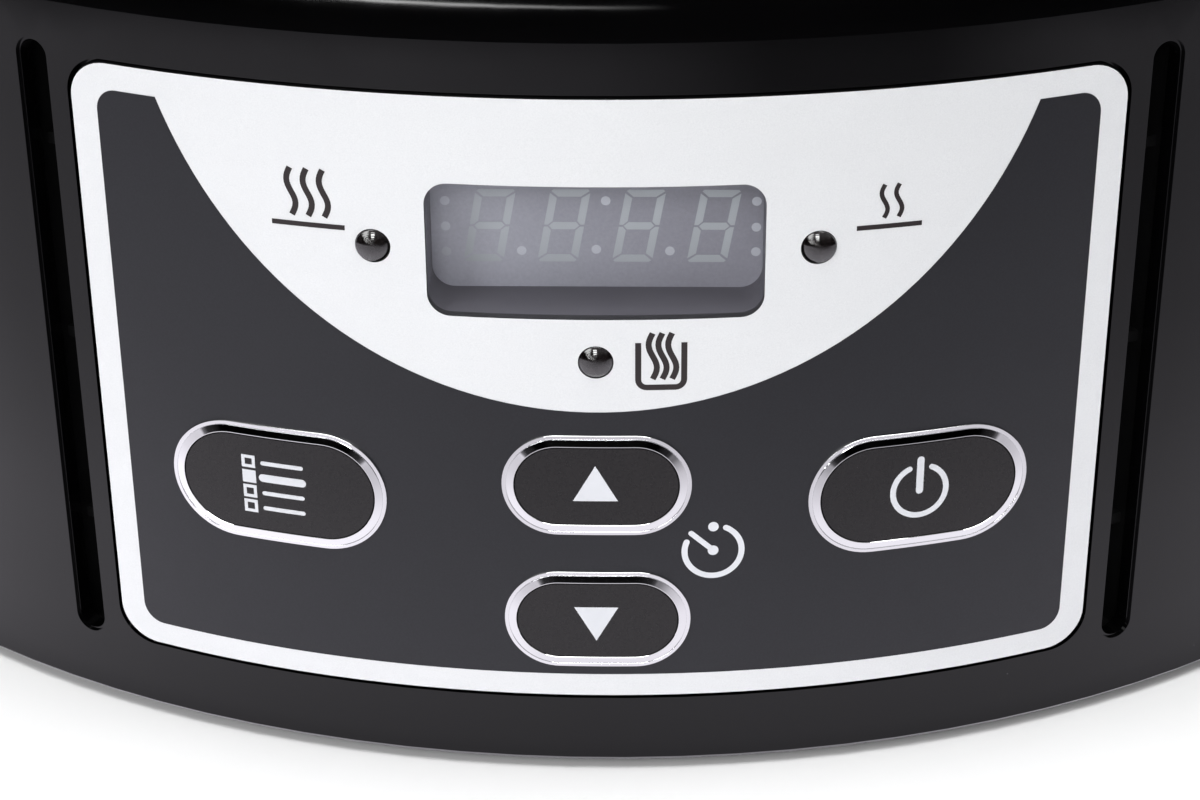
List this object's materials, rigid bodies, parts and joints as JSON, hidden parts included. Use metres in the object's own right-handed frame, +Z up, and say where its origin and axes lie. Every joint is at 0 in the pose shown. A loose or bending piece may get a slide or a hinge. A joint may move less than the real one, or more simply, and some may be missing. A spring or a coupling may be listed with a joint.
{
  "type": "digital slow cooker",
  "caption": "Round countertop slow cooker with a digital control panel, chrome-ringed buttons, a removable glazed crock, a glass lid and side handles.",
  "frame": {"origin": "centre of the feet, on the surface that the cooker stands on", "axes": "+Z up, -Y out of the control panel, +X to the right of someone facing the panel"},
  "size_m": [0.376, 0.3209, 0.2005],
  "materials": {
    "housing_gloss": "high gloss black",
    "handle_plastic": "fine satin black",
    "base_metal": "satin black paint",
    "steel_fixings": "zinc plated",
    "rubber_black": "matt",
    "silicone_grey": "matt silicone",
    "well_metal": "drawn, satin",
    "heater_band": "foil over mica",
    "glass_wool": "needled glass fibre",
    "carrier_plastic": "matt dark grey",
    "vent_black": "matt black, finely grained",
    "fascia_silver": "fine silver lacquer on plastic",
    "chrome_trim": "bright chrome plating",
    "button_face": "satin, printed",
    "display_grey": "grey filter face, segments unlit",
    "window_clear": "clear, lightly smoked",
    "lamp_lens": "polished clear lens, unlit",
    "board_green": "solder mask",
    "component_plastic": "moulded",
    "plunger_plastic": "moulded",
    "cable_grey": "insulation",
    "fuse_metal": "plated",
    "crock_glaze": "black gloss glaze",
    "lid_glass": "clear tempered",
    "rim_steel": "polished stainless",
    "knob_phenolic": "black phenolic"
  },
  "bodies": {
    "base": {"housing_shell": "housing_gloss", "handle_left": "handle_plastic", "handle_right": "handle_plastic", "cord_gland": "handle_plastic", "base_plate": "base_metal", "base_screws": "steel_fixings", "handle_screws": "steel_fixings", "carrier_screws": "steel_fixings", "board_screws": "steel_fixings", "power_board_screws": "steel_fixings", "tie_stud": "steel_fixings", "tie_nut": "steel_fixings", "thermistor": "steel_fixings", "foot_back_right": "rubber_black", "foot_back_left": "rubber_black", "foot_front_left": "rubber_black", "foot_front_right": "rubber_black", "rim_seal": "silicone_grey", "heating_well": "well_metal", "heating_band": "heater_band", "insulation_wrap": "glass_wool", "panel_carrier": "carrier_plastic", "vent_baffle_left": "vent_black", "vent_baffle_right": "vent_black", "fascia_plate": "fascia_silver", "ring_menu": "chrome_trim", "ring_power": "chrome_trim", "ring_up": "chrome_trim", "ring_down": "chrome_trim", "display_module": "display_grey", "display_window": "window_clear", "lamp_high": "lamp_lens", "lamp_low": "lamp_lens", "lamp_warm": "lamp_lens", "control_board": "board_green", "power_board": "board_green", "switch_menu": "component_plastic", "switch_power": "component_plastic", "switch_up": "component_plastic", "switch_down": "component_plastic", "relay": "component_plastic", "filter_capacitor": "component_plastic", "ribbon_cable": "cable_grey", "heater_leads": "cable_grey", "thermal_fuse": "fuse_metal"},
    "menu_key": {"button_menu": "button_face", "plunger_menu": "plunger_plastic"},
    "power_key": {"button_power": "button_face", "plunger_power": "plunger_plastic"},
    "up_key": {"button_up": "button_face", "plunger_up": "plunger_plastic"},
    "down_key": {"button_down": "button_face", "plunger_down": "plunger_plastic"},
    "crock_body": {"crock": "crock_glaze"},
    "lid_body": {"lid_glass": "lid_glass", "lid_rim": "rim_steel", "lid_knob": "knob_phenolic", "knob_washer": "silicone_grey", "knob_screw": "steel_fixings", "vent_eyelet": "rim_steel"}
  },
  "joints": [
    {"name": "press_menu", "type": "slide", "parent": "base", "child": "menu_key", "axis": [0, 1, 0], "range_m": [0, 0.0006], "stiffness_N_per_m": 1500, "springref_m": -0.0005},
    {"name": "press_power", "type": "slide", "parent": "base", "child": "power_key", "axis": [0, 1, 0], "range_m": [0, 0.0006], "stiffness_N_per_m": 1500, "springref_m": -0.0005},
    {"name": "press_up", "type": "slide", "parent": "base", "child": "up_key", "axis": [0, 1, 0], "range_m": [0, 0.0006], "stiffness_N_per_m": 1500, "springref_m": -0.0005},
    {"name": "press_down", "type": "slide", "parent": "base", "child": "down_key", "axis": [0, 1, 0], "range_m": [0, 0.0006], "stiffness_N_per_m": 1500, "springref_m": -0.0005},
    {"name": "crock_lift", "type": "slide", "parent": "base", "child": "crock_body", "axis": [0, 0, 1], "range_m": [0, 0.12]},
    {"name": "lid_lift", "type": "slide", "parent": "crock_body", "child": "lid_body", "axis": [0, 0, 1], "range_m": [0, 0.08]}
  ]
}
